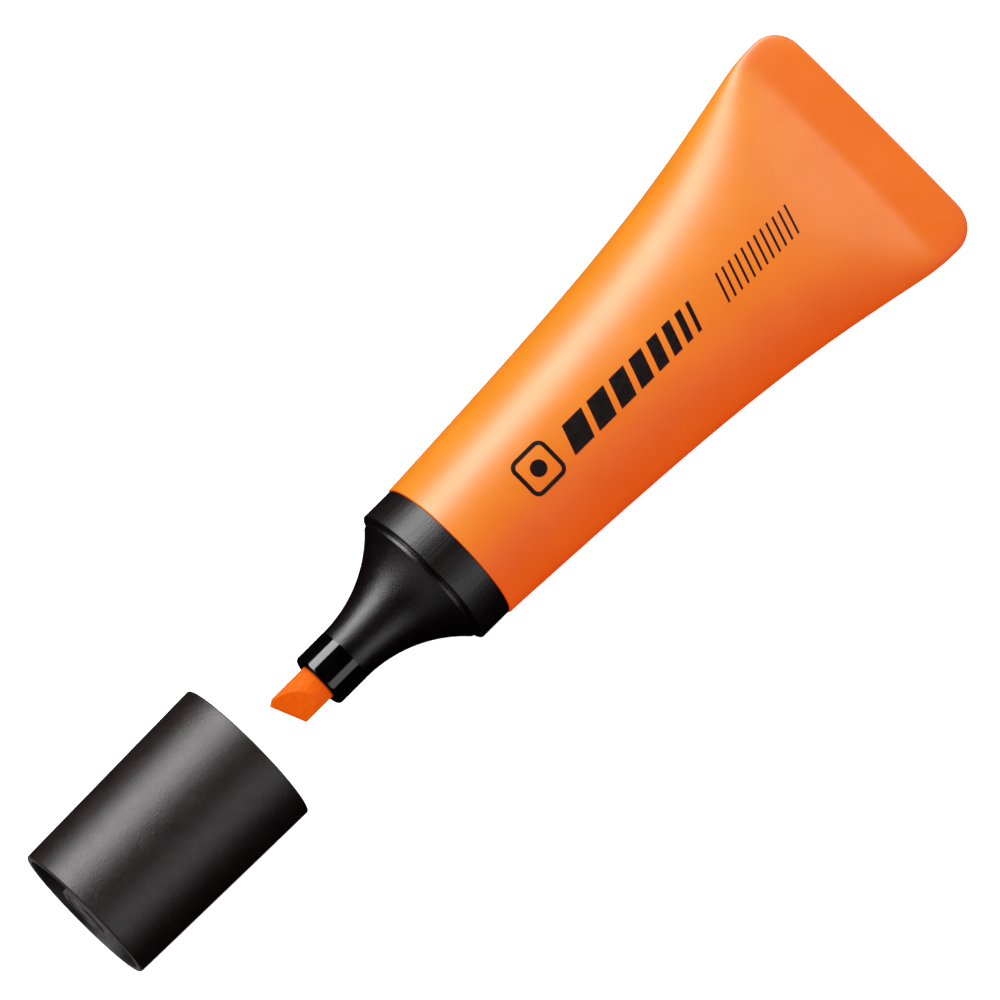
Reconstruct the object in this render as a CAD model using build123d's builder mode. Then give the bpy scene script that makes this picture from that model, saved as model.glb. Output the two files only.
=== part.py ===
from build123d import *

import os

# A capped highlighter with a soft, tube-shaped body, laid on its side with its cap pulled off and
# standing in front of the nib. Millimetres, +X from the flattened tail to the cap, +Z up.
# Distances along the pen are counted from the front face of its collar, positive towards the nib.

# Tube: round at the mouth, thick for most of its length, then closing on to a straight welded tail
BODY_R = 10.7
WALL = 0.8
BARREL_LENGTH = 70.6
TAIL_BAND = 6.9
TAIL_WIDTH = 36.8
TAIL_THICKNESS = 1.9
TAIL_CORNER_R = 4.0
CLOSING_POWER = 6
WAIST = 3.9
WAIST_REACH = 3.1
WAIST_FADE = 1.4
ARC_HANDLE = 0.5523
SHOULDER = 0.25
SECTION_STEPS = 20
HOLLOW_END = 0.97
REST_FLAT = 0.1

# Neck insert, collar, nozzle and nib holder
NECK_LENGTH = 4.0
NECK_TAPER = 0.4
COLLAR_LENGTH = 4.65
COLLAR_R = 10.55
COLLAR_CHAMFER = 0.2
COLLAR_BORE_R = 9.0
GROOVE_R = 9.2
GROOVE_LENGTH = 0.25
LAND_R = 9.6
LAND_END_X = 0.75
NOZZLE_TIP_X = 13.9
NOZZLE_TIP_R = 3.89
NOZZLE_CURVE_R = 18.1
SPIGOT_R = 8.4
SPIGOT_DEPTH = 4.9
SLEEVE_R = 3.9
SLEEVE_TIP_X = 18.8
SLEEVE_EDGE_R = 0.6
STEM_R = 3.15
STEM_X = 4.0
NIB_CLEARANCE = 0.2

# Nib: a felt rod, cut slantwise and bevelled to a chisel edge
NIB_R = 2.55
NIB_TAIL_R = 1.3
NIB_TAIL_X = -9.0
NIB_EDGE_X = 24.27
NIB_SLANT = 0.42
NIB_EDGE_THICKNESS = 0.75
NIB_BEVEL_SLOPE = 0.7
NIB_BLUNT_X = 0.86
NIB_BLUNT_Y = 0.55

# Ink reservoir
RESERVOIR_R = 5.8
RESERVOIR_WALL = 0.8
RESERVOIR_FRONT_X = 2.0
RESERVOIR_BACK_X = -38.0
PLUG_DEPTH = 2.0
PLUG_FLANGE = 0.8
WRAP_THICKNESS = 0.2
CORE_FRONT_X = -1.5

# Cap, and how far it stands in front of the collar when it is off
CAP_X = 31.0
CAP_LENGTH = 28.8
CAP_MOUTH_R = 10.55
CAP_END_R = 10.0
CAP_WALL = 0.85
CAP_EDGE_R = 0.35
CAP_INNER_EDGE_R = 0.15
LINER_X = 14.6
LINER_R = 4.9
LINER_CLEARANCE = 0.05
LINER_LEAD_IN = 0.5
LINER_FLOOR_X = 25.6
LINER_FLOOR = 0.8
VENT_INNER_R = 5.5
VENT_OUTER_R = 8.3
VENT_SPOKE = 2.4
DISC_R = 3.85
DISC_SINK = 0.2
DISC_THICKNESS = 1.0
DISC_RING_R = 3.3
DISC_RING_WIDTH = 0.45
DISC_RING_HEIGHT = 0.15
BRIDGE_FLARE = 0.9

# The object's middle is at X = 0 and it lies on Z = 0
TUBE_FRONT_X = -COLLAR_LENGTH
TAIL_X = TUBE_FRONT_X - BARREL_LENGTH
COLLAR_X = (TAIL_BAND - TAIL_X - CAP_X - CAP_LENGTH) / 2
AXIS_Z = BODY_R - REST_FLAT
PEN_AXIS = Axis((COLLAR_X, 0, AXIS_Z), (1, 0, 0))
AXIS_PLANE = Plane(origin=(COLLAR_X, 0, AXIS_Z), x_dir=(1, 0, 0), z_dir=(0, -1, 0))
PLAN = Plane(origin=(COLLAR_X, 0, AXIS_Z))


def across(distance):
    """Plane square to the pen's axis: local x runs along +Y and local y along +Z."""
    return Plane(origin=(COLLAR_X + distance, 0, AXIS_Z), x_dir=(0, 1, 0), z_dir=(1, 0, 0))


def half_section(*corners):
    """Half-section of a turned piece, through (distance, radius) corners."""
    with BuildSketch(AXIS_PLANE) as section:
        with BuildLine():
            Polyline(*corners, close=True)
        make_face()
    return section.sketch


def tube_half_width(share):
    """Half of the tube's width at a share of its length, 0 at the mouth and 1 at the flat tail."""
    flare = (TAIL_WIDTH / 2 - BODY_R) * share
    return BODY_R + flare - WAIST * share * (1 - share**WAIST_REACH) ** WAIST_FADE


def tube_half_thickness(share):
    """Half of the tube's thickness at the same share: level at first, then ever steeper."""
    return TAIL_THICKNESS / 2 + (BODY_R - TAIL_THICKNESS / 2) * (1 - share**CLOSING_POWER)


def tube_section(share, inset=0):
    """Soft oval across the tube: a circle at the mouth, flat with round shoulders at the tail."""
    width = tube_half_width(share) - inset
    height = tube_half_thickness(share) - inset
    shoulder = height + SHOULDER * (width - height)
    side_handle = (width, ARC_HANDLE * height)
    top_handle = (width - (1 - ARC_HANDLE) * shoulder, height)
    with BuildSketch(across(TUBE_FRONT_X - share * BARREL_LENGTH)) as section:
        with BuildLine():
            Bezier((width, 0), side_handle, top_handle, (0, height))
            mirror(about=Plane.YZ)
            mirror(about=Plane.XZ)
        make_face()
    return section.sketch


# Tube body: barrel, welded tail, the hollow inside, and the two shallow flats that the barrel rests on
with BuildPart() as tube_body:
    SHARES = [step / SECTION_STEPS for step in range(SECTION_STEPS + 1)]
    loft([tube_section(share) for share in SHARES])
    with BuildSketch(PLAN) as tail_outline:
        with Locations((TAIL_X - TAIL_BAND / 2, 0)):
            Rectangle(TAIL_BAND, TAIL_WIDTH)
        fillet(tail_outline.vertices().group_by(Axis.X)[0], TAIL_CORNER_R)
    extrude(amount=TAIL_THICKNESS / 2, both=True)
    HOLLOW_SHARES = [share for share in SHARES if share < HOLLOW_END] + [HOLLOW_END]
    loft([tube_section(share, inset=WALL) for share in HOLLOW_SHARES], mode=Mode.SUBTRACT)
    split(bisect_by=Plane.XY, keep=Keep.TOP)
    split(bisect_by=Plane.XY.offset(2 * AXIS_Z), keep=Keep.BOTTOM)
tube_body.part.label = "tube_body"

# Neck insert: the stiff ring welded inside the tube's mouth
with BuildPart() as neck_insert:
    NECK_BACK_X = TUBE_FRONT_X - NECK_LENGTH
    revolve(
        half_section(
            (TUBE_FRONT_X, SPIGOT_R),
            (TUBE_FRONT_X, BODY_R - WALL),
            (NECK_BACK_X, BODY_R - WALL - NECK_TAPER),
            (NECK_BACK_X, SPIGOT_R),
        ),
        axis=PEN_AXIS,
    )
neck_insert.part.label = "neck_insert"

# Collar: the plain ring between the tube and the nozzle, its front edge just broken
with BuildPart() as collar_ring:
    revolve(
        half_section(
            (TUBE_FRONT_X, COLLAR_BORE_R),
            (TUBE_FRONT_X, COLLAR_R),
            (-COLLAR_CHAMFER, COLLAR_R),
            (0, COLLAR_R - COLLAR_CHAMFER),
            (0, COLLAR_BORE_R),
        ),
        axis=PEN_AXIS,
    )
collar_ring.part.label = "collar_ring"

# Nozzle: spigot, groove, land for the cap's mouth and hollow-curved cone, bored for reservoir and stem
with BuildPart() as nozzle:
    with BuildSketch(AXIS_PLANE):
        with BuildLine():
            curve = RadiusArc((LAND_END_X, LAND_R), (NOZZLE_TIP_X, NOZZLE_TIP_R), -NOZZLE_CURVE_R)
            Polyline(
                curve @ 1,
                (NOZZLE_TIP_X, STEM_R),
                (STEM_X, STEM_R),
                (STEM_X, NIB_R + NIB_CLEARANCE),
                (RESERVOIR_FRONT_X, NIB_R + NIB_CLEARANCE),
                (RESERVOIR_FRONT_X, RESERVOIR_R),
                (TUBE_FRONT_X - SPIGOT_DEPTH, RESERVOIR_R),
                (TUBE_FRONT_X - SPIGOT_DEPTH, SPIGOT_R),
                (TUBE_FRONT_X, SPIGOT_R),
                (TUBE_FRONT_X, COLLAR_BORE_R),
                (0, COLLAR_BORE_R),
                (0, GROOVE_R),
                (GROOVE_LENGTH, GROOVE_R),
                (GROOVE_LENGTH, LAND_R),
                curve @ 0,
            )
        make_face()
    revolve(axis=PEN_AXIS)
nozzle.part.label = "nozzle"

# Nib holder: the gloss sleeve and its stem in the nozzle
with BuildPart() as nib_holder:
    revolve(
        half_section(
            (STEM_X, NIB_R),
            (STEM_X, STEM_R),
            (NOZZLE_TIP_X, STEM_R),
            (NOZZLE_TIP_X, SLEEVE_R),
            (SLEEVE_TIP_X, SLEEVE_R),
            (SLEEVE_TIP_X, NIB_R),
        ),
        axis=PEN_AXIS,
    )
    tip_rim = nib_holder.edges().filter_by(GeomType.CIRCLE).group_by(Axis.X)[-1].sort_by(SortBy.RADIUS)
    fillet(tip_rim[-1], SLEEVE_EDGE_R)
nib_holder.part.label = "nib_holder"

# Nib: the rod with its tail, the slanted end and two bevels that leave the chisel edge
with BuildPart() as nib:
    revolve(
        half_section(
            (NIB_TAIL_X, 0),
            (NIB_TAIL_X, NIB_TAIL_R),
            (CORE_FRONT_X, NIB_TAIL_R),
            (CORE_FRONT_X + NIB_R, NIB_R),
            (NIB_EDGE_X + NIB_R, NIB_R),
            (NIB_EDGE_X + NIB_R, 0),
        ),
        axis=PEN_AXIS,
    )
    LONG_Y = NIB_BLUNT_Y - NIB_R
    LONG_X = NIB_EDGE_X - NIB_SLANT * LONG_Y
    with BuildSketch(PLAN):
        with BuildLine():
            Polyline(
                (NIB_TAIL_X, NIB_R),
                (NIB_EDGE_X - NIB_SLANT * NIB_R, NIB_R),
                (LONG_X, LONG_Y),
                (LONG_X - NIB_BLUNT_X, -NIB_R),
                (NIB_TAIL_X, -NIB_R),
                close=True,
            )
        make_face()
    extrude(amount=NIB_R, both=True, mode=Mode.INTERSECT)
    edge_plane = Plane(
        origin=(COLLAR_X + NIB_EDGE_X, 0, AXIS_Z),
        x_dir=(1, NIB_SLANT, 0),
        z_dir=(-NIB_SLANT, 1, 0),
    )
    BEVEL_BACK = 2 * NIB_R
    BEVEL_TOP = NIB_EDGE_THICKNESS / 2 + NIB_BEVEL_SLOPE * BEVEL_BACK
    with BuildSketch(edge_plane):
        with BuildLine():
            Polyline(
                (0, NIB_EDGE_THICKNESS / 2),
                (-BEVEL_BACK, BEVEL_TOP),
                (NIB_R, BEVEL_TOP),
                (NIB_R, NIB_EDGE_THICKNESS / 2),
                close=True,
            )
        make_face()
        mirror(about=Plane.XZ)
    extrude(amount=2 * NIB_R, both=True, mode=Mode.SUBTRACT)
nib.part.label = "nib"

# Reservoir: barrel, end plug, and the ink core in its film wrap
with BuildPart() as reservoir_barrel:
    revolve(
        half_section(
            (RESERVOIR_BACK_X, RESERVOIR_R - RESERVOIR_WALL),
            (RESERVOIR_BACK_X, RESERVOIR_R),
            (RESERVOIR_FRONT_X, RESERVOIR_R),
            (RESERVOIR_FRONT_X, RESERVOIR_R - RESERVOIR_WALL),
        ),
        axis=PEN_AXIS,
    )
reservoir_barrel.part.label = "reservoir_barrel"

with BuildPart() as reservoir_plug:
    PLUG_R = RESERVOIR_R - RESERVOIR_WALL
    revolve(
        half_section(
            (RESERVOIR_BACK_X - PLUG_FLANGE, 0),
            (RESERVOIR_BACK_X - PLUG_FLANGE, RESERVOIR_R),
            (RESERVOIR_BACK_X, RESERVOIR_R),
            (RESERVOIR_BACK_X, PLUG_R),
            (RESERVOIR_BACK_X + PLUG_DEPTH, PLUG_R),
            (RESERVOIR_BACK_X + PLUG_DEPTH, 0),
        ),
        axis=PEN_AXIS,
    )
reservoir_plug.part.label = "reservoir_plug"

CORE_BACK_X = RESERVOIR_BACK_X + PLUG_DEPTH
WRAP_R = RESERVOIR_R - RESERVOIR_WALL
CORE_R = WRAP_R - WRAP_THICKNESS
with BuildPart() as core_wrap:
    revolve(
        half_section(
            (CORE_BACK_X, CORE_R),
            (CORE_BACK_X, WRAP_R),
            (CORE_FRONT_X, WRAP_R),
            (CORE_FRONT_X, CORE_R),
        ),
        axis=PEN_AXIS,
    )
core_wrap.part.label = "core_wrap"

with BuildPart() as ink_core:
    revolve(
        half_section(
            (CORE_BACK_X, 0),
            (CORE_BACK_X, CORE_R),
            (CORE_FRONT_X, CORE_R),
            (CORE_FRONT_X, NIB_TAIL_R),
            (NIB_TAIL_X, NIB_TAIL_R),
            (NIB_TAIL_X, 0),
        ),
        axis=PEN_AXIS,
    )
ink_core.part.label = "ink_core"

# Cap shell: a tapered tube, with the disc that a bridge holds just inside its closed end
CAP_END_X = CAP_X + CAP_LENGTH
with BuildPart() as cap_shell:
    revolve(
        half_section(
            (CAP_X, CAP_MOUTH_R - CAP_WALL),
            (CAP_X, CAP_MOUTH_R),
            (CAP_END_X, CAP_END_R),
            (CAP_END_X, CAP_END_R - CAP_WALL),
        ),
        axis=PEN_AXIS,
    )
    end_rim = cap_shell.edges().filter_by(GeomType.CIRCLE).group_by(Axis.X)[-1].sort_by(SortBy.RADIUS)
    fillet(end_rim[-1], CAP_EDGE_R)
    fillet(end_rim[0], CAP_INNER_EDGE_R)
    disc_plane = across(CAP_END_X - DISC_SINK)
    WALL_MIDDLE_R = CAP_END_R - CAP_WALL / 2
    with BuildSketch(disc_plane):
        Circle(DISC_R)
        with BuildLine():
            Polyline(
                (-DISC_R, 0),
                (DISC_R, 0),
                (DISC_R, DISC_R * 2),
                (DISC_R + BRIDGE_FLARE, CAP_END_R),
                (-DISC_R - BRIDGE_FLARE, CAP_END_R),
                (-DISC_R, DISC_R * 2),
                close=True,
            )
        make_face()
        Circle(WALL_MIDDLE_R, mode=Mode.INTERSECT)
    extrude(amount=-DISC_THICKNESS)
    with BuildSketch(disc_plane):
        Circle(DISC_RING_R)
        Circle(DISC_RING_R - DISC_RING_WIDTH, mode=Mode.SUBTRACT)
    extrude(amount=DISC_RING_HEIGHT)
cap_shell.part.label = "cap_shell"

# Cap liner: the cup that seals on the nib holder, on a vented plate pressed into the shell
with BuildPart() as cap_liner:
    BORE_R = SLEEVE_R + LINER_CLEARANCE
    FLOOR_X = CAP_X + LINER_FLOOR_X
    PLATE_R = CAP_END_R - CAP_WALL
    revolve(
        half_section(
            (CAP_X + LINER_X, BORE_R + LINER_LEAD_IN),
            (CAP_X + LINER_X, LINER_R),
            (FLOOR_X, LINER_R),
            (FLOOR_X, PLATE_R),
            (FLOOR_X + LINER_FLOOR, PLATE_R),
            (FLOOR_X + LINER_FLOOR, 0),
            (FLOOR_X, 0),
            (FLOOR_X, BORE_R),
            (CAP_X + LINER_X + LINER_LEAD_IN, BORE_R),
        ),
        axis=PEN_AXIS,
    )
    with BuildSketch(across(FLOOR_X)):
        Circle(VENT_OUTER_R)
        Circle(VENT_INNER_R, mode=Mode.SUBTRACT)
        Rectangle(2 * VENT_OUTER_R, VENT_SPOKE, mode=Mode.SUBTRACT)
        Rectangle(VENT_SPOKE, 2 * VENT_OUTER_R, mode=Mode.SUBTRACT)
    extrude(amount=LINER_FLOOR, mode=Mode.SUBTRACT)
cap_liner.part.label = "cap_liner"

os.makedirs("parts", exist_ok=True)
PIECES = [
    tube_body,
    neck_insert,
    collar_ring,
    nozzle,
    nib_holder,
    nib,
    reservoir_barrel,
    reservoir_plug,
    core_wrap,
    ink_core,
    cap_shell,
    cap_liner,
]
for piece in PIECES:
    export_step(piece.part, f"parts/{piece.part.label}.step")
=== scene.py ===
from math import cos, dist, hypot, pi, radians, sin, sqrt, tan

import bmesh
import bpy
from mathutils import Matrix, Vector
from mathutils.bvhtree import BVHTree


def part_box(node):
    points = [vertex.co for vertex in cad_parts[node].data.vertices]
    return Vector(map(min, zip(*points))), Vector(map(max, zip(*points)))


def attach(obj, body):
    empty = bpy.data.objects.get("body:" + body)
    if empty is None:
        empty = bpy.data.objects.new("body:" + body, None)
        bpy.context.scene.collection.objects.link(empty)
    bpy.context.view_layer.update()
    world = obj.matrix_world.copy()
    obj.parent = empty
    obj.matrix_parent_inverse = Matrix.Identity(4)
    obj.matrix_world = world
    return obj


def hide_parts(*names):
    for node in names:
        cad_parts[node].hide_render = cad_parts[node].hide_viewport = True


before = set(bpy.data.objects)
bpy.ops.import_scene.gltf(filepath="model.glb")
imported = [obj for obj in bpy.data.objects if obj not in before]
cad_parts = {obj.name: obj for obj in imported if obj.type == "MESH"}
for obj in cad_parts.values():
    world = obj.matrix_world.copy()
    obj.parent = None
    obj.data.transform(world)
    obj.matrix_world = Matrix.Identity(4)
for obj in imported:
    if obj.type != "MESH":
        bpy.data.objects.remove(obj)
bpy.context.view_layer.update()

# A capped highlighter with a soft, tube-shaped body. Shapes are worked out in millimetres: distances
# along the pen are counted from the front of its collar towards the nib, y runs across the flat
# tail, and heights are counted from the pen's axis. The places of the pieces come from the frame.

MM = 0.001
TURN_STEPS = 192
CORNER_STEPS = 8
# Length of the flat welded tail
TAIL_BAND = 6.9

collar_low, collar_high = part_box("collar_ring")
COLLAR_X = collar_high.x
AXIS_Z = (collar_low.z + collar_high.z) / 2


def reach(node):
    """Lowest and highest distance along the pen of a CAD node."""
    low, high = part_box(node)
    return (low.x - COLLAR_X) / MM, (high.x - COLLAR_X) / MM


def half_span(node):
    """Half of a CAD node's size across the pen, in y."""
    low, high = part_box(node)
    return (high.y - low.y) / 2 / MM


def place(distance, y, height):
    """A point of the pen, in the frame's metres."""
    return Vector((COLLAR_X + distance * MM, y * MM, AXIS_Z + height * MM))


# ---------------------------------------------------------------- meshes


def finish_mesh(piece_mesh, sharp_angle=35):
    """Smooth shading, with sharp edges kept where the surface really turns."""
    piece_mesh.validate()
    piece_mesh.shade_smooth()
    piece_mesh.set_sharp_from_angle(angle=radians(sharp_angle))


def make_piece(name, vertices, faces, material, body, replaced=()):
    """A mesh piece of the object, from its vertices and faces, that rides on a CAD body."""
    piece_mesh = bpy.data.meshes.new(name)
    piece_mesh.from_pydata([tuple(v) for v in vertices], [], faces)
    work = bmesh.new()
    work.from_mesh(piece_mesh)
    bmesh.ops.recalc_face_normals(work, faces=work.faces)
    work.to_mesh(piece_mesh)
    work.free()
    finish_mesh(piece_mesh)
    return show_piece(name, piece_mesh, material, body, replaced)


def show_piece(name, piece_mesh, material, body, replaced=()):
    """Puts a finished mesh in the scene as a piece that rides on a CAD body."""
    piece_mesh.materials.append(material)
    piece = bpy.data.objects.new(name, piece_mesh)
    bpy.context.scene.collection.objects.link(piece)
    flat_shading = piece.modifiers.new("flat_faces_stay_flat", "WEIGHTED_NORMAL")
    flat_shading.keep_sharp = True
    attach(piece, body)
    if replaced:
        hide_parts(*replaced)
    return piece


def rounded(corners):
    """Closed outline through (x, y, rounding radius) corners, with each corner turned into an arc."""
    points = []
    for index, (x, y, radius) in enumerate(corners):
        corner = Vector((x, y))
        before = Vector(corners[index - 1][:2]) - corner
        after = Vector(corners[(index + 1) % len(corners)][:2]) - corner
        turn = before.angle(after)
        if radius == 0 or turn > pi - 0.01:
            points.append((x, y))
            continue
        reach_back = radius / tan(turn / 2)
        start = corner + before.normalized() * reach_back
        end = corner + after.normalized() * reach_back
        middle = (before.normalized() + after.normalized()).normalized()
        centre = corner + middle * (radius / sin(turn / 2))
        for step in range(CORNER_STEPS + 1):
            arm = (start - centre).lerp(end - centre, step / CORNER_STEPS)
            points.append(tuple(centre + arm.normalized() * radius))
    return points


def turned(name, outline, material, body, replaced=()):
    """A turned piece: a closed half-section of (distance, radius) points, off the axis, spun round it."""
    count = len(outline)
    vertices = []
    for turn_step in range(TURN_STEPS):
        angle = 2 * pi * turn_step / TURN_STEPS
        vertices += [place(d, r * cos(angle), r * sin(angle)) for d, r in outline]
    faces = []
    for turn_step in range(TURN_STEPS):
        here = turn_step * count
        there = (turn_step + 1) % TURN_STEPS * count
        for index in range(count):
            following = (index + 1) % count
            faces.append((here + index, here + following, there + following, there + index))
    return make_piece(name, vertices, faces, material, body, replaced)


def ring_faces(rings, columns):
    """Quads between each ring of vertices and the next one."""
    faces = []
    for ring in range(rings - 1):
        for column in range(columns):
            following = (column + 1) % columns
            faces.append(
                (
                    ring * columns + column,
                    ring * columns + following,
                    (ring + 1) * columns + following,
                    (ring + 1) * columns + column,
                )
            )
    return faces


def end_faces(first, columns):
    """Closes a flat oval ring with strips from its upper half to its lower half."""
    faces = []
    for column in range(columns // 2):
        ring = [column, column + 1, (columns - column - 1) % columns, (columns - column) % columns]
        faces.append(tuple(first + i for i in dict.fromkeys(ring)))
    return faces


# ---------------------------------------------------------------- materials


def principled(name, **values):
    """A new material, its node tree and its shader with constant values set on its own sockets."""
    material = bpy.data.materials.new(name)
    material.use_nodes = True
    shader = material.node_tree.nodes["Principled BSDF"]
    for socket, value in values.items():
        shader.inputs[socket.replace("_", " ")].default_value = value
    return material, material.node_tree, shader


def grain(tree, scale, detail=3.0, stretch=(1, 1, 1)):
    """Noise in the frame's own coordinates, scale in grains per metre."""
    place_node = tree.nodes.new("ShaderNodeTexCoord")
    mapping = tree.nodes.new("ShaderNodeMapping")
    mapping.inputs["Scale"].default_value = stretch
    texture = tree.nodes.new("ShaderNodeTexNoise")
    texture.inputs["Scale"].default_value = scale
    texture.inputs["Detail"].default_value = detail
    tree.links.new(place_node.outputs["Object"], mapping.inputs["Vector"])
    tree.links.new(mapping.outputs["Vector"], texture.inputs["Vector"])
    return texture.outputs["Fac"]


def spread(tree, value, low, high, start=0.3, end=0.7):
    """Maps a noise value to a range."""
    node = tree.nodes.new("ShaderNodeMapRange")
    node.inputs["From Min"].default_value = start
    node.inputs["From Max"].default_value = end
    node.inputs["To Min"].default_value = low
    node.inputs["To Max"].default_value = high
    tree.links.new(value, node.inputs["Value"])
    return node.outputs["Result"]


def tint(tree, value, low, high, start=0.3, end=0.7):
    """Maps a noise value to a colour between two others."""
    node = tree.nodes.new("ShaderNodeValToRGB")
    node.color_ramp.elements[0].position = start
    node.color_ramp.elements[0].color = (*low, 1)
    node.color_ramp.elements[1].position = end
    node.color_ramp.elements[1].color = (*high, 1)
    tree.links.new(value, node.inputs["Fac"])
    return node.outputs["Color"]


def relief(tree, height, depth, strength, under=None):
    """Bump from a height value, depth in millimetres; under is the normal that it adds to."""
    node = tree.nodes.new("ShaderNodeBump")
    node.inputs["Strength"].default_value = strength
    node.inputs["Distance"].default_value = depth * MM
    tree.links.new(height, node.inputs["Height"])
    if under:
        tree.links.new(under, node.inputs["Normal"])
    return node.outputs["Normal"]


def blended(tree, share, low, high):
    """Mixes two colours by a share from 0 to 1."""
    node = tree.nodes.new("ShaderNodeMix")
    node.data_type = "RGBA"
    tree.links.new(share, node.inputs["Factor"])
    tree.links.new(low, node.inputs["A"])
    tree.links.new(high, node.inputs["B"])
    return node.outputs["Result"]


WELD_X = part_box("tube_body")[0].x + TAIL_BAND * MM
BAND_SHADE_BLEND = 1.4 * MM


def soft_touch_orange():
    """Soft plastic with a painted red glow standing in for its fluorescent brightness, a fine grain, and
    painted shade on the flat welded band.
    """
    material, tree, shader = principled(
        "soft_touch_orange",
        Specular_IOR_Level=0.65,
        # The emission is a painted red glow, standing in for the fluorescent plastic's brightness
        Emission_Color=(1, 0, 0, 1),
        Emission_Strength=0.63,
    )
    open_colour = tint(tree, grain(tree, 120), (0.12, 0.112, 0.0003), (0.145, 0.124, 0.0006))
    # Painted shade: the flat welded band gets a darker orange, standing in for the sheen it loses under
    # the lamps
    band_shade_colour = tint(tree, grain(tree, 120), (0.12, 0.086, 0.0002), (0.145, 0.096, 0.0004))
    place_node = tree.nodes.new("ShaderNodeTexCoord")
    along = tree.nodes.new("ShaderNodeSeparateXYZ")
    tree.links.new(place_node.outputs["Object"], along.inputs["Vector"])
    band_shade_share = spread(tree, along.outputs["X"], 1, 0, start=WELD_X - BAND_SHADE_BLEND, end=WELD_X + BAND_SHADE_BLEND)
    tree.links.new(blended(tree, band_shade_share, open_colour, band_shade_colour), shader.inputs["Base Color"])
    roughness = spread(tree, grain(tree, 260), 0.38, 0.44)
    tree.links.new(roughness, shader.inputs["Roughness"])
    normal = relief(tree, grain(tree, 5200, detail=2), 0.012, 0.5)
    tree.links.new(normal, shader.inputs["Normal"])
    return material


def satin_black(name, gloss, dark, light, smoothest, roughest, grain_depth):
    """Moulded black plastic with a fine spark-eroded grain."""
    material, tree, shader = principled(name, Specular_IOR_Level=gloss)
    colour = tint(tree, grain(tree, 400), dark, light)
    tree.links.new(colour, shader.inputs["Base Color"])
    roughness = spread(tree, grain(tree, 500), smoothest, roughest)
    tree.links.new(roughness, shader.inputs["Roughness"])
    normal = relief(tree, grain(tree, 6500, detail=1), grain_depth, 0.6)
    tree.links.new(normal, shader.inputs["Normal"])
    return material


def scratched_black():
    """The collar's black: the same kind of plastic, with faint scratches along the pen."""
    material, tree, shader = principled("scratched_black", Specular_IOR_Level=0.5)
    colour = tint(tree, grain(tree, 400), (0.0016, 0.0005, 0.0006), (0.0026, 0.0008, 0.0010))
    tree.links.new(colour, shader.inputs["Base Color"])
    roughness = spread(tree, grain(tree, 700, stretch=(0.1, 1, 1)), 0.33, 0.42)
    tree.links.new(roughness, shader.inputs["Roughness"])
    scratches = relief(tree, grain(tree, 4200, stretch=(0.02, 1, 1)), 0.045, 0.5)
    normal = relief(tree, grain(tree, 6500, detail=1), 0.045, 0.6, under=scratches)
    tree.links.new(normal, shader.inputs["Normal"])
    return material


def gloss_black():
    """Polished black plastic, with hardly any waviness."""
    material, tree, shader = principled("gloss_black", Specular_IOR_Level=0.5)
    colour = tint(tree, grain(tree, 300), (0.0004, 0.0004, 0.0004), (0.0008, 0.0008, 0.0008))
    tree.links.new(colour, shader.inputs["Base Color"])
    roughness = spread(tree, grain(tree, 900), 0.06, 0.10)
    tree.links.new(roughness, shader.inputs["Roughness"])
    normal = relief(tree, grain(tree, 500), 0.004, 0.3)
    tree.links.new(normal, shader.inputs["Normal"])
    return material


def ink_felt():
    """Bonded fibre soaked with fluorescent ink, with a painted orange glow: short fibres along the pen,
    and small pores.
    """
    material, tree, shader = principled(
        "ink_felt",
        Specular_IOR_Level=0.08,
        # The emission is a painted orange glow, standing in for the fluorescent ink's brightness
        Emission_Color=(1, 0.09, 0, 1),
        Emission_Strength=0.58,
    )
    fibres = grain(tree, 2600, detail=4, stretch=(0.22, 1, 1))
    colour = tint(tree, fibres, (0.16, 0.036, 0.0001), (0.22, 0.056, 0.0006), 0.35, 0.7)
    tree.links.new(colour, shader.inputs["Base Color"])
    roughness = spread(tree, grain(tree, 1500), 0.5, 0.75)
    tree.links.new(roughness, shader.inputs["Roughness"])
    pores = relief(tree, grain(tree, 7000, detail=2), 0.03, 0.6)
    normal = relief(tree, fibres, 0.04, 0.6, under=pores)
    tree.links.new(normal, shader.inputs["Normal"])
    return material


def moulded_plastic(name, dark, light, smoothest, roughest):
    """Plain moulded plastic for the pieces inside."""
    material, tree, shader = principled(name)
    tree.links.new(tint(tree, grain(tree, 250), dark, light), shader.inputs["Base Color"])
    roughness = spread(tree, grain(tree, 700), smoothest, roughest)
    tree.links.new(roughness, shader.inputs["Roughness"])
    normal = relief(tree, grain(tree, 4000, detail=2), 0.01, 0.4)
    tree.links.new(normal, shader.inputs["Normal"])
    return material


def ink_core_fibre():
    """The reservoir's fibre bundle: long fibres along the pen."""
    material, tree, shader = principled("ink_core_fibre", Specular_IOR_Level=0.2)
    fibres = grain(tree, 3000, detail=4, stretch=(0.05, 1, 1))
    colour = tint(tree, fibres, (0.75, 0.13, 0.01), (0.92, 0.34, 0.05))
    tree.links.new(colour, shader.inputs["Base Color"])
    tree.links.new(spread(tree, fibres, 0.7, 0.9), shader.inputs["Roughness"])
    tree.links.new(relief(tree, fibres, 0.05, 0.7), shader.inputs["Normal"])
    return material


def printing_ink():
    """Black printing ink, a little rougher than the plastic that it lies on."""
    material, tree, shader = principled("printing_ink", Specular_IOR_Level=0.2)
    colour = tint(tree, grain(tree, 900), (0.003, 0.0015, 0.0012), (0.006, 0.003, 0.0025))
    tree.links.new(colour, shader.inputs["Base Color"])
    tree.links.new(spread(tree, grain(tree, 1800), 0.38, 0.5), shader.inputs["Roughness"])
    return material


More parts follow.
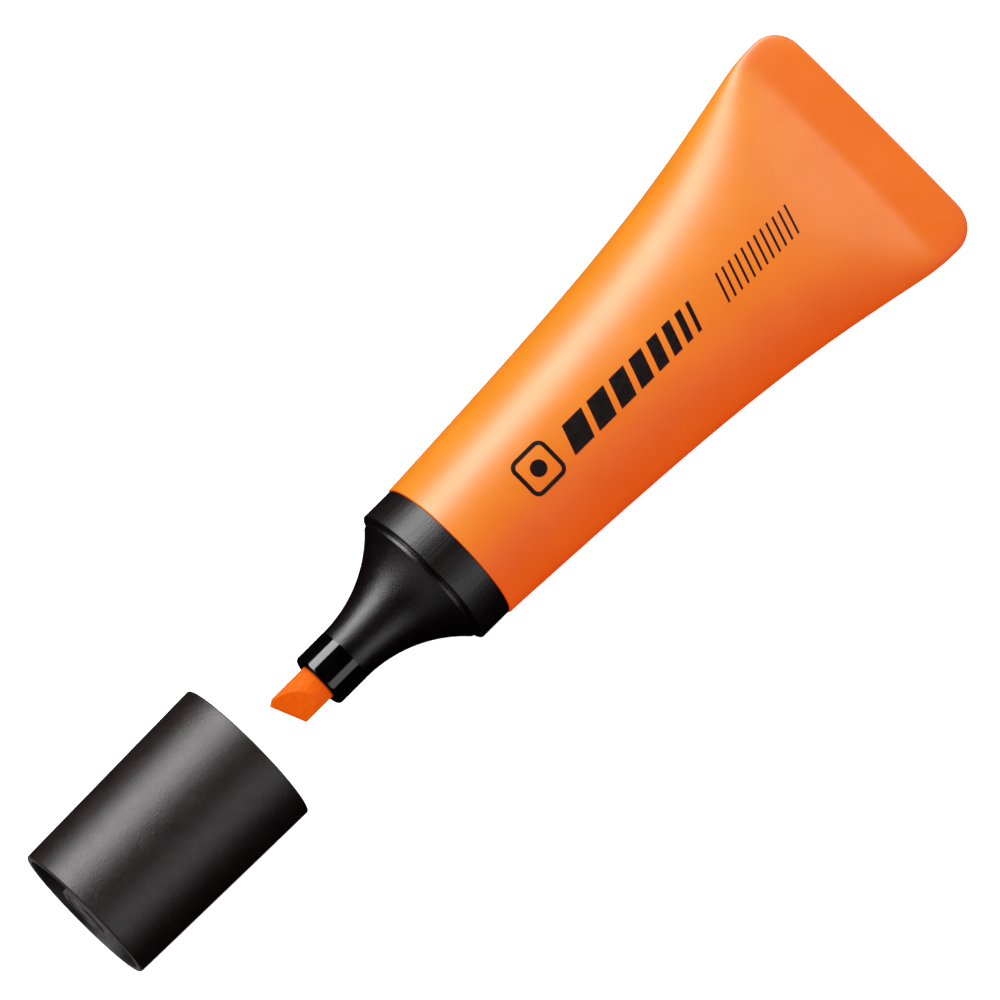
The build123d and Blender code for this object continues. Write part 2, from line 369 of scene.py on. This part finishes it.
orange = soft_touch_orange()
black = satin_black(
    "satin_black",
    gloss=0.6,
    dark=(0.0032, 0.0006, 0.0010),
    light=(0.0048, 0.0012, 0.0018),
    smoothest=0.37,
    roughest=0.42,
    grain_depth=0.10,
)
nozzle_black = satin_black(
    "nozzle_black",
    gloss=0.45,
    dark=(0.0012, 0.0003, 0.0005),
    light=(0.0018, 0.0005, 0.0008),
    smoothest=0.27,
    roughest=0.32,
    grain_depth=0.06,
)
collar_black = scratched_black()
polished_black = gloss_black()
felt = ink_felt()
print_black = printing_ink()

# ---------------------------------------------------------------- tube body

TAIL_END_X, MOUTH_X = reach("tube_body")
TAIL_HALF_WIDTH = half_span("tube_body")
BODY_R = 10.7
TAIL_HALF_HEIGHT = 0.95
TAIL_CORNER_R = 4.0
TAIL_EDGE_R = 0.3
MOUTH_EDGE_R = 0.25
BARREL_LENGTH = MOUTH_X - TAIL_END_X - TAIL_BAND
RESTING_HEIGHT = -AXIS_Z / MM
WALL = 0.8
# Seen from above, the flare is drawn in by a waist and bends softly where the tail begins
WAIST = 3.9
WAIST_REACH = 3.1
WAIST_FADE = 1.4
FLARE_SOFTNESS = 2.4
SOFTENING_STEPS = 4
# Seen from the side, the barrel closes ever more steeply and ends in a soft crease at the tail
CLOSING_POWER = 6
CREASE_SOFTNESS = 1.1
# Each quarter of the oval is a curve with handles, and its shoulder is wider than an ellipse's
ARC_HANDLE = 0.5523
SHOULDER = 0.25
SHOULDER_FADE = 2.4
HOLLOW_END = 0.95
HOLLOW_STEPS = 60
BARREL_STEPS = 150
BAND_STEPS = 8
TAIL_CORNER_STEPS = 26
EDGE_STEPS = 6
QUARTER_STEPS = 40
TUBE_COLUMNS = 4 * QUARTER_STEPS


def edge_rounding(depth, radius):
    """How much a rounded edge takes off the size at a depth in from the end."""
    into_edge = max(radius - depth, 0)
    return radius - sqrt(max(radius**2 - into_edge**2, 0))


def flared_half_width(distance):
    """Half of the tube's width: flared along the barrel, then straight along the tail."""
    share = min(max((MOUTH_X - distance) / BARREL_LENGTH, 0), 1)
    flare = (TAIL_HALF_WIDTH - BODY_R) * share
    return BODY_R + flare - WAIST * share * (1 - share**WAIST_REACH) ** WAIST_FADE


def tube_half_width(distance):
    """The same, averaged over a short stretch so that it bends softly, with rounded corners."""
    steps = range(-SOFTENING_STEPS, SOFTENING_STEPS + 1)
    widths = [flared_half_width(distance + FLARE_SOFTNESS * step / SOFTENING_STEPS) for step in steps]
    return sum(widths) / len(widths) - edge_rounding(distance - TAIL_END_X, TAIL_CORNER_R)


def tube_half_height(distance):
    """Half of the tube's thickness: level, then ever steeper, with a soft crease at the flat tail."""
    share = (MOUTH_X - distance) / BARREL_LENGTH
    closing = (BODY_R - TAIL_HALF_HEIGHT) * (1 - share**CLOSING_POWER)
    height = TAIL_HALF_HEIGHT + (closing + hypot(closing, CREASE_SOFTNESS)) / 2
    return height - edge_rounding(distance - TAIL_END_X, TAIL_EDGE_R)


def tube_ring(distance, inset=0.0):
    """One soft oval round the tube, or round its hollow when inset, with a flat underside to rest on."""
    if inset == 0:
        inset = edge_rounding(MOUTH_X - distance, MOUTH_EDGE_R)
    width = tube_half_width(distance) - inset
    height = tube_half_height(distance) - inset
    widening = SHOULDER * min((height + inset - TAIL_HALF_HEIGHT) / SHOULDER_FADE, 1)
    shoulder = height + widening * (width - height)
    side = (width, ARC_HANDLE * height)
    top = (width - (1 - ARC_HANDLE) * shoulder, height)
    ring = []
    for quarter in range(4):
        for step in range(QUARTER_STEPS):
            share = step / QUARTER_STEPS
            if quarter % 2:
                share = 1 - share
            rest = 1 - share
            y = width * rest**3 + 3 * side[0] * rest**2 * share + 3 * top[0] * rest * share**2
            z = 3 * side[1] * rest**2 * share + 3 * top[1] * rest * share**2 + height * share**3
            y_sign = 1 if quarter in (0, 3) else -1
            z_sign = 1 if quarter in (0, 1) else -1
            ring.append(place(distance, y_sign * y, max(z_sign * z, RESTING_HEIGHT)))
    return ring


def tube_distances():
    """Where the rings of the outside lie, closer together where the shape turns."""
    edge_x = TAIL_END_X + TAIL_EDGE_R
    corner_x = TAIL_END_X + TAIL_CORNER_R
    band_x = TAIL_END_X + TAIL_BAND
    distances = [MOUTH_X - MOUTH_EDGE_R * (1 - cos(pi / 2 * i / EDGE_STEPS)) for i in range(EDGE_STEPS)]
    rounded_x = MOUTH_X - MOUTH_EDGE_R
    barrel = BARREL_LENGTH - MOUTH_EDGE_R
    distances += [rounded_x - barrel * i / BARREL_STEPS for i in range(BARREL_STEPS)]
    distances += [band_x + (corner_x - band_x) * i / BAND_STEPS for i in range(BAND_STEPS)]
    for i in range(TAIL_CORNER_STEPS):
        arc = TAIL_END_X + TAIL_CORNER_R * (1 - sin(pi / 2 * i / TAIL_CORNER_STEPS))
        if arc > edge_x:
            distances.append(arc)
    for i in range(EDGE_STEPS + 1):
        distances.append(TAIL_END_X + TAIL_EDGE_R * (1 - sin(pi / 2 * i / EDGE_STEPS)))
    return distances


def make_tube():
    """The tube's outside, its rim at the mouth and the hollow inside, as one closed skin."""
    outside = tube_distances()
    hollow_end = MOUTH_X - HOLLOW_END * BARREL_LENGTH
    inside = [hollow_end + (MOUTH_X - hollow_end) * i / HOLLOW_STEPS for i in range(HOLLOW_STEPS + 1)]
    vertices = []
    for distance in inside:
        vertices += tube_ring(distance, inset=WALL)
    for distance in outside:
        vertices += tube_ring(distance)
    rings = len(inside) + len(outside)
    faces = ring_faces(rings, TUBE_COLUMNS)
    faces += end_faces(0, TUBE_COLUMNS)
    faces += end_faces((rings - 1) * TUBE_COLUMNS, TUBE_COLUMNS)
    return make_piece("tube_skin", vertices, faces, orange, "pen", ["tube_body"])


tube = make_tube()
# The tube glows, and would otherwise tint the white floor
tube.visible_diffuse = False

# ---------------------------------------------------------------- collar, nozzle and nib holder

COLLAR_BACK, COLLAR_FRONT = reach("collar_ring")
COLLAR_R = half_span("collar_ring")
COLLAR_BORE_R = 9.0
GROOVE_R = 9.2
GROOVE_X = 0.25
LAND_R = half_span("nozzle")
LAND_X = 0.75
SPIGOT_R = 8.4
SPIGOT_BACK, NOZZLE_TIP_X = reach("nozzle")
NOZZLE_TIP_R = 3.89
NOZZLE_CURVE_R = 18.1
NOZZLE_CURVE_STEPS = 48
BARREL_FRONT_X = reach("reservoir_barrel")[1]
BARREL_R = half_span("reservoir_barrel")
STEM_BACK, SLEEVE_TIP_X = reach("nib_holder")
STEM_R = 3.15
SLEEVE_R = half_span("nib_holder")
SLEEVE_EDGE_R = 0.6
NIB_R = half_span("nib")
NIB_ROOM = 0.2


def make_collar():
    """The plain ring, with its edges broken."""
    outline = rounded(
        [
            (COLLAR_BACK, COLLAR_BORE_R, 0.1),
            (COLLAR_BACK, COLLAR_R, 0.12),
            (COLLAR_FRONT, COLLAR_R, 0.2),
            (COLLAR_FRONT, COLLAR_BORE_R, 0.1),
        ]
    )
    return turned("collar", outline, collar_black, "pen", ["collar_ring"])


def nozzle_curve():
    """The hollow-curved cone: an arc that runs out along the pen at the tip."""
    centre_r = NOZZLE_TIP_R + NOZZLE_CURVE_R
    points = []
    for step in range(NOZZLE_CURVE_STEPS + 1):
        distance = LAND_X + (NOZZLE_TIP_X - LAND_X) * step / NOZZLE_CURVE_STEPS
        radius = centre_r - sqrt(NOZZLE_CURVE_R**2 - (NOZZLE_TIP_X - distance) ** 2)
        points.append((distance, radius))
    return points


def make_nozzle():
    """The cone, the seat of the nib holder, the spigot inside the tube, the groove and the land."""
    front = [(d, r, 0) for d, r in nozzle_curve()]
    front[0] = (*front[0][:2], 0.1)
    outline = rounded(
        front
        + [
            (NOZZLE_TIP_X, STEM_R, 0.05),
            (STEM_BACK, STEM_R, 0),
            (STEM_BACK, NIB_R + NIB_ROOM, 0),
            (BARREL_FRONT_X, NIB_R + NIB_ROOM, 0),
            (BARREL_FRONT_X, BARREL_R, 0),
            (SPIGOT_BACK, BARREL_R, 0.1),
            (SPIGOT_BACK, SPIGOT_R, 0.1),
            (COLLAR_BACK, SPIGOT_R, 0),
            (COLLAR_BACK, COLLAR_BORE_R, 0),
            (COLLAR_FRONT, COLLAR_BORE_R, 0),
            (COLLAR_FRONT, GROOVE_R, 0),
            (GROOVE_X, GROOVE_R, 0.05),
            (GROOVE_X, LAND_R, 0.12),
        ]
    )
    return turned("nozzle_cone", outline, nozzle_black, "pen", ["nozzle"])


def make_nib_holder():
    """The polished sleeve with its rounded tip, and the stem behind it."""
    outline = rounded(
        [
            (STEM_BACK, NIB_R, 0),
            (STEM_BACK, STEM_R, 0.1),
            (NOZZLE_TIP_X, STEM_R, 0),
            (NOZZLE_TIP_X, SLEEVE_R, 0.06),
            (SLEEVE_TIP_X, SLEEVE_R, SLEEVE_EDGE_R),
            (SLEEVE_TIP_X, NIB_R, 0.06),
        ]
    )
    return turned("nib_sleeve", outline, polished_black, "pen", ["nib_holder"])


make_collar()
make_nozzle()
make_nib_holder()

# ---------------------------------------------------------------- nib

NIB_BACK = reach("nib")[0]
NIB_EDGE_X = 24.27
NIB_SLANT = 0.42
NIB_EDGE_THICKNESS = 0.75
NIB_BEVEL_SLOPE = 0.7
NIB_BLUNT_X = 0.86
NIB_BLUNT_Y = 0.55
NIB_COLUMNS = 96
NIB_EDGE_R = 0.1
NIB_SHARP_ANGLE = 20


def soften(work, edges, size):
    """Rounds edges over."""
    bmesh.ops.bevel(
        work, geom=edges, offset=size * MM, offset_type="OFFSET", segments=3, profile=0.5, affect="EDGES"
    )


def cut(work, point, outward):
    """Cuts away what lies beyond a plane and closes the cut with one face."""
    geometry = work.verts[:] + work.edges[:] + work.faces[:]
    result = bmesh.ops.bisect_plane(
        work, geom=geometry, plane_co=point, plane_no=outward, clear_outer=True, dist=1e-8
    )
    rim = [e for e in result["geom_cut"] if isinstance(e, bmesh.types.BMEdge)]
    bmesh.ops.holes_fill(work, edges=rim)


def make_nib():
    """The felt rod, its slanted end, the blunted long corner and the two bevels."""
    work = bmesh.new()
    front = NIB_EDGE_X + NIB_R
    bmesh.ops.create_cone(
        work,
        cap_ends=True,
        segments=NIB_COLUMNS,
        radius1=NIB_R * MM,
        radius2=NIB_R * MM,
        depth=(front - STEM_BACK) * MM,
        matrix=Matrix.Translation(place((front + STEM_BACK) / 2, 0, 0)) @ Matrix.Rotation(pi / 2, 4, "Y"),
    )
    edge_point = place(NIB_EDGE_X, 0, 0)
    cut(work, edge_point, Vector((1, NIB_SLANT, 0)))
    long_y = NIB_BLUNT_Y - NIB_R
    long_corner = place(NIB_EDGE_X - NIB_SLANT * long_y, long_y, 0)
    cut(work, long_corner, Vector((NIB_BLUNT_Y, -NIB_BLUNT_X, 0)))
    for side in (1, -1):
        across_edge = Vector((1, NIB_SLANT, 0)).normalized()
        outward = Vector((NIB_BEVEL_SLOPE * across_edge.x, NIB_BEVEL_SLOPE * across_edge.y, side))
        cut(work, place(NIB_EDGE_X, 0, side * NIB_EDGE_THICKNESS / 2), outward)
    sharp = [e for e in work.edges if e.is_manifold and e.calc_face_angle(0) > radians(NIB_SHARP_ANGLE)]
    soften(work, sharp, NIB_EDGE_R)
    bmesh.ops.recalc_face_normals(work, faces=work.faces)
    nib_mesh = bpy.data.meshes.new("chisel_nib")
    work.to_mesh(nib_mesh)
    work.free()
    finish_mesh(nib_mesh, sharp_angle=50)
    return show_piece("chisel_nib", nib_mesh, felt, "pen", ["nib"])


make_nib()

# ---------------------------------------------------------------- cap

CAP_X, CAP_END_X = reach("cap_shell")
CAP_MOUTH_R = half_span("cap_shell")
CAP_END_R = 10.0
CAP_WALL = 0.85
DISC_R = 3.85
DISC_SINK = 0.2
DISC_THICKNESS = 1.0
DISC_RING_R = 3.3
DISC_RING_WIDTH = 0.45
DISC_RING_HEIGHT = 0.15
DISC_RING_ROOT = 0.1
DISC_EDGE_R = 0.12
DISC_STEPS = 48
BRIDGE_FLARE = 0.9
BRIDGE_STEPS = 16


def make_cap_shell():
    """The cap's tapered tube, open at both ends."""
    outline = rounded(
        [
            (CAP_X, CAP_MOUTH_R - CAP_WALL, 0.15),
            (CAP_X, CAP_MOUTH_R, 0.2),
            (CAP_END_X, CAP_END_R, 0.35),
            (CAP_END_X, CAP_END_R - CAP_WALL, 0.15),
        ]
    )
    return turned("cap_tube", outline, black, "cap", ["cap_shell"])


def make_cap_disc():
    """The disc in the cap's end, with the bridge that joins it to the wall."""
    wall_middle = CAP_END_R - CAP_WALL / 2
    flared = DISC_R + BRIDGE_FLARE
    outline = []
    for step in range(DISC_STEPS + 1):
        angle = pi + pi * step / DISC_STEPS
        outline.append((DISC_R * cos(angle), DISC_R * sin(angle)))
    outline.append((DISC_R, 2 * DISC_R))
    for step in range(BRIDGE_STEPS + 1):
        y = flared * (1 - 2 * step / BRIDGE_STEPS)
        outline.append((y, sqrt(wall_middle**2 - y**2)))
    outline.append((-DISC_R, 2 * DISC_R))
    top = CAP_END_X - DISC_SINK
    work = bmesh.new()
    base = work.faces.new([work.verts.new(place(top - DISC_THICKNESS, y, z)) for y, z in outline])
    raised = bmesh.ops.extrude_face_region(work, geom=[base])["geom"]
    lifted = [v for v in raised if isinstance(v, bmesh.types.BMVert)]
    bmesh.ops.translate(work, verts=lifted, vec=Vector((DISC_THICKNESS * MM, 0, 0)))
    top_face = next(f for f in raised if isinstance(f, bmesh.types.BMFace))
    soften(work, list(top_face.edges), DISC_EDGE_R)
    bmesh.ops.recalc_face_normals(work, faces=work.faces)
    disc_mesh = bpy.data.meshes.new("cap_disc")
    work.to_mesh(disc_mesh)
    work.free()
    finish_mesh(disc_mesh)
    return show_piece("cap_disc", disc_mesh, black, "cap", ["cap_shell"])


def make_disc_ring():
    """The raised ring on the disc's face."""
    top = CAP_END_X - DISC_SINK
    outline = rounded(
        [
            (top - DISC_RING_ROOT, DISC_RING_R, 0),
            (top + DISC_RING_HEIGHT, DISC_RING_R, 0.08),
            (top + DISC_RING_HEIGHT, DISC_RING_R - DISC_RING_WIDTH, 0.08),
            (top - DISC_RING_ROOT, DISC_RING_R - DISC_RING_WIDTH, 0),
        ]
    )
    return turned("cap_disc_ring", outline, black, "cap", ["cap_shell"])


make_cap_shell()
make_cap_disc()
make_disc_ring()

# ---------------------------------------------------------------- printed marks

# Generic marks in place of the printed words: a badge, bold bars that grow narrower, and thin lines
PRINT_LIFT = 0.01
PRINT_THICKNESS = 0.03
BADGE_X, BADGE_Y = -18.2, 0.5
BADGE_HALF_SIDE = 2.8
BADGE_CORNER_R = 1.2
BADGE_LINE = 0.55
BADGE_SIDE_STEPS = 8
BADGE_DOT_R = 1.1
DOT_STEPS = 24
BAR_LOW, BAR_HIGH = -1.2, 2.6
BAR_LEAN = 0.35
BAR_STEPS = 10
BAR_GAP = 0.95
FIRST_BAR_X = -24.0
WIDEST_BAR, NARROWEST_BAR, BAR_COUNT = 3.4, 0.6, 8
FIRST_LINE_X = -51.8
LINE_WIDTH, LINE_SPACING, LINE_COUNT = 0.32, 1.18, 12
tube_surface = BVHTree.FromObject(tube, bpy.context.evaluated_depsgraph_get())


def print_height(distance, y):
    """Height of the tube's upper side, found by looking down at it."""
    hit = tube_surface.ray_cast(place(distance, y, 2 * BODY_R), Vector((0, 0, -1)))[0]
    return (hit.z - AXIS_Z) / MM


def printed(name, strips):
    """Printed marks from strips: each strip is a row of (left, right) pairs of (distance, y) points."""
    vertices, faces = [], []
    for strip in strips:
        first = len(vertices)
        for pair in strip:
            for distance, y in pair:
                low = print_height(distance, y) + PRINT_LIFT
                vertices.append(place(distance, y, low))
                vertices.append(place(distance, y, low + PRINT_THICKNESS))
        for row in range(len(strip) - 1):
            a, b = first + 4 * row, first + 4 * (row + 1)
            faces.append((a, b, b + 2, a + 2))
            faces.append((a + 1, a + 3, b + 3, b + 1))
            faces.append((a, a + 1, b + 1, b))
            faces.append((a + 2, b + 2, b + 3, a + 3))
        last = first + 4 * (len(strip) - 1)
        if strip[0] != strip[-1]:
            faces.append((first, first + 2, first + 3, first + 1))
            faces.append((last, last + 1, last + 3, last + 2))
    return make_piece(name, vertices, faces, print_black, "pen")


def leaning_bar(start, width):
    """A leaning bar across the print, cut into short rows so that it follows the tube."""
    rows = []
    for step in range(BAR_STEPS + 1):
        y = BAR_LOW + (BAR_HIGH - BAR_LOW) * step / BAR_STEPS
        left = start + BAR_LEAN * (y - BAR_LOW)
        rows.append(((left, y), (left + width, y)))
    return rows


def badge_outline(half_side, radius):
    """The badge's rounded square, with extra points so that it follows the tube."""
    signs = ((-1, -1), (1, -1), (1, 1), (-1, 1))
    outline = rounded([(BADGE_X + i * half_side, BADGE_Y + j * half_side, radius) for i, j in signs])
    points = []
    for index, here in enumerate(outline):
        following = outline[(index + 1) % len(outline)]
        pieces = BADGE_SIDE_STEPS if dist(here, following) > radius / 2 else 1
        points += [tuple(Vector(here).lerp(Vector(following), i / pieces)) for i in range(pieces)]
    return points


def badge_dot():
    """The dot in the middle of the badge, cut into short rows so that it follows the tube."""
    rows = []
    for step in range(1, DOT_STEPS):
        angle = pi * step / DOT_STEPS
        y = BADGE_Y - BADGE_DOT_R * cos(angle)
        half_chord = BADGE_DOT_R * sin(angle)
        rows.append(((BADGE_X - half_chord, y), (BADGE_X + half_chord, y)))
    return rows


def make_print():
    """The badge with its dot, the row of bold bars and the row of thin lines."""
    outer = badge_outline(BADGE_HALF_SIDE, BADGE_CORNER_R)
    inner = badge_outline(BADGE_HALF_SIDE - BADGE_LINE, BADGE_CORNER_R - BADGE_LINE)
    ring = list(zip(outer, inner))
    printed("print_badge", [ring + ring[:1], badge_dot()])

    bars = []
    right = FIRST_BAR_X
    for step in range(BAR_COUNT):
        width = WIDEST_BAR + (NARROWEST_BAR - WIDEST_BAR) * step / (BAR_COUNT - 1)
        bars.append(leaning_bar(right - width, width))
        right -= width + BAR_GAP
    printed("print_bars", bars)

    line_starts = [FIRST_LINE_X - LINE_SPACING * step for step in range(LINE_COUNT)]
    printed("print_lines", [leaning_bar(start, LINE_WIDTH) for start in line_starts])


make_print()

# ---------------------------------------------------------------- pieces kept from the CAD frame

# Darkest and lightest colour, smoothest and roughest patch
WHITE = ((0.62, 0.61, 0.57), (0.72, 0.71, 0.67), 0.35, 0.5)
NATURAL = ((0.66, 0.66, 0.63), (0.76, 0.76, 0.73), 0.3, 0.45)
GREYISH = ((0.62, 0.62, 0.60), (0.70, 0.70, 0.68), 0.35, 0.5)
FILM = ((0.70, 0.62, 0.52), (0.80, 0.72, 0.62), 0.1, 0.2)
DARK = ((0.010, 0.009, 0.009), (0.016, 0.014, 0.014), 0.35, 0.45)
KEPT = {
    "neck_insert": moulded_plastic("white_moulding", *WHITE),
    "reservoir_barrel": moulded_plastic("barrel_moulding", *NATURAL),
    "reservoir_plug": moulded_plastic("plug_moulding", *GREYISH),
    "core_wrap": moulded_plastic("wrap_film", *FILM),
    "ink_core": ink_core_fibre(),
    "cap_liner": moulded_plastic("liner_moulding", *DARK),
}
for node, material in KEPT.items():
    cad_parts[node].data.materials.clear()
    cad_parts[node].data.materials.append(material)

# ---------------------------------------------------------------- floor, light and camera

COVE_START, COVE_R = 2.4, 1.6
COVE_STEPS, COVE_COLUMNS = 12, 96
FLOOR_GLOW, FAR_FLOOR_GLOW = 0.5, 1.0
GLOW_START, GLOW_END = 0.15, 0.8
WORLD_GLOW = 0.55
LIT_X = -12.0
BOUNCE_X = CAP_END_X + 10


def make_floor():
    """A lit white table that curves up far away, so that low views see it too, and lights nothing."""
    profile = [(0.0, 0.0), (COVE_START, 0.0)]
    for step in range(1, COVE_STEPS + 1):
        angle = pi / 2 * step / COVE_STEPS
        profile.append((COVE_START + COVE_R * sin(angle), COVE_R * (1 - cos(angle))))
    vertices = [(0, 0, 0)]
    for radius, height in profile[1:]:
        for column in range(COVE_COLUMNS):
            turn = 2 * pi * column / COVE_COLUMNS
            vertices.append((radius * cos(turn), radius * sin(turn), height))
    faces = [(0, 1 + i, 1 + (i + 1) % COVE_COLUMNS) for i in range(COVE_COLUMNS)]
    faces += [tuple(1 + i for i in face) for face in ring_faces(len(profile) - 1, COVE_COLUMNS)]
    floor_mesh = bpy.data.meshes.new("floor")
    floor_mesh.from_pydata(vertices, [], faces)
    floor_mesh.shade_smooth()
    material, tree, shader = principled(
        "pale_floor",
        Specular_IOR_Level=0.1,
        Roughness=0.9,
        Emission_Color=(1, 1, 1, 1),
    )
    shade = tint(tree, grain(tree, 30), (0.86, 0.86, 0.86), (0.88, 0.88, 0.88))
    tree.links.new(shade, shader.inputs["Base Color"])
    place_node = tree.nodes.new("ShaderNodeTexCoord")
    reach_node = tree.nodes.new("ShaderNodeVectorMath")
    reach_node.operation = "LENGTH"
    tree.links.new(place_node.outputs["Object"], reach_node.inputs[0])
    far = reach_node.outputs["Value"]
    glow = spread(tree, far, FLOOR_GLOW, FAR_FLOOR_GLOW, start=GLOW_START, end=GLOW_END)
    tree.links.new(glow, shader.inputs["Emission Strength"])
    floor_mesh.materials.append(material)
    floor = bpy.data.objects.new("floor", floor_mesh)
    floor.visible_glossy = False
    floor.visible_diffuse = False
    bpy.context.scene.collection.objects.link(floor)


def softbox(name, tilt_y, tilt_x, distance, length, width, radiance, shift=0.0):
    """A rectangular lamp facing the pen, tilted towards +Y or +X by degrees and shifted lengthways."""
    lamp = bpy.data.lights.new(name, "AREA")
    lamp.shape = "RECTANGLE"
    lamp.size = length
    lamp.size_y = width
    lamp.energy = radiance * pi * length * width
    lamp_object = bpy.data.objects.new(name, lamp)
    bpy.context.scene.collection.objects.link(lamp_object)
    tilted = Matrix.Rotation(radians(tilt_x), 3, "Y") @ Matrix.Rotation(radians(-tilt_y), 3, "X")
    lamp_object.matrix_world = tilted.to_4x4()
    lamp_object.location = place(LIT_X, 0, 0) + tilted @ Vector((shift, 0, distance))
    lamp_object.visible_camera = False
    return lamp_object


def light_only(lamp_object, piece, state):
    """Limits a lamp to a piece (INCLUDE) or keeps it off that piece (EXCLUDE)."""
    receivers = bpy.data.collections.new(lamp_object.name + "_receivers")
    receivers.objects.link(piece)
    receivers.collection_objects[0].light_linking.link_state = state
    lamp_object.light_linking.receiver_collection = receivers


def make_world():
    """An even white surround that fills the shade but stays out of the gloss of the plastic."""
    world = bpy.data.worlds.new("studio")
    bpy.context.scene.world = world
    world.use_nodes = True
    background = world.node_tree.nodes["Background"]
    background.inputs["Color"].default_value = (1, 1, 1, 1)
    background.inputs["Strength"].default_value = WORLD_GLOW
    world.cycles_visibility.glossy = False


def make_lamps():
    """The long key lamp and its weaker end, a lamp beyond each end of the pen, and the fill."""
    softbox("key", tilt_y=-60, tilt_x=0, distance=0.7, length=1.3, width=0.4, radiance=10.0)
    softbox("key_end", tilt_y=-60, tilt_x=0, distance=0.7, length=1.0, width=0.4, radiance=1.3, shift=1.15)
    softbox("tail_light", tilt_y=0, tilt_x=-70, distance=0.9, length=0.5, width=0.5, radiance=2.0)
    softbox("nib_light", tilt_y=0, tilt_x=78, distance=0.9, length=0.3, width=1.2, radiance=0.65)
    # Light from the white table on the cap's end face: it lies 1 mm above the table and faces up
    softbox(
        "table_bounce",
        tilt_y=180,
        tilt_x=0,
        distance=AXIS_Z - MM,
        length=0.02,
        width=0.03,
        radiance=0.3,
        shift=(BOUNCE_X - LIT_X) * MM,
    )
    # The fill is mirrored by the black pieces, but only brightens the tube without a reflection
    fill = {"tilt_y": 46, "tilt_x": 0, "distance": 0.8, "length": 1.3, "width": 0.42, "radiance": 1.8}
    light_only(softbox("fill", **fill), tube, "EXCLUDE")
    tube_fill = softbox("tube_fill", **fill)
    light_only(tube_fill, tube, "INCLUDE")
    tube_fill.visible_glossy = False


make_floor()
make_world()
make_lamps()

CAMERA_DISTANCE = 0.959
CAMERA_LEAN = 9.8
CAMERA_TARGET = (-13.8, -0.08)
CAMERA_ROLL = 0.16
VIEW_WIDTH = 0.125


def make_camera():
    """Looks down on the pen, a little from the cap's end, with the pen running down to the left."""
    camera = bpy.data.cameras.new("camera")
    camera.sensor_width = 36
    camera.lens = camera.sensor_width / VIEW_WIDTH * CAMERA_DISTANCE
    camera_object = bpy.data.objects.new("camera", camera)
    bpy.context.scene.collection.objects.link(camera_object)
    lean = radians(CAMERA_LEAN)
    roll = radians(CAMERA_ROLL)
    back = Vector((sin(lean), 0, cos(lean)))
    level = Vector((cos(lean), 0, -sin(lean)))
    across_pen = Vector((0, 1, 0))
    along = cos(roll) * level + sin(roll) * across_pen
    across = cos(roll) * across_pen - sin(roll) * level
    right = (across - along).normalized()
    up = -(across + along).normalized()
    camera_object.matrix_world = Matrix(
        (
            (right.x, up.x, back.x, 0),
            (right.y, up.y, back.y, 0),
            (right.z, up.z, back.z, 0),
            (0, 0, 0, 1),
        )
    )
    camera_object.location = place(*CAMERA_TARGET, 0) + back * CAMERA_DISTANCE
    bpy.context.scene.camera = camera_object


make_camera()
bpy.context.scene.view_settings.view_transform = "Standard"
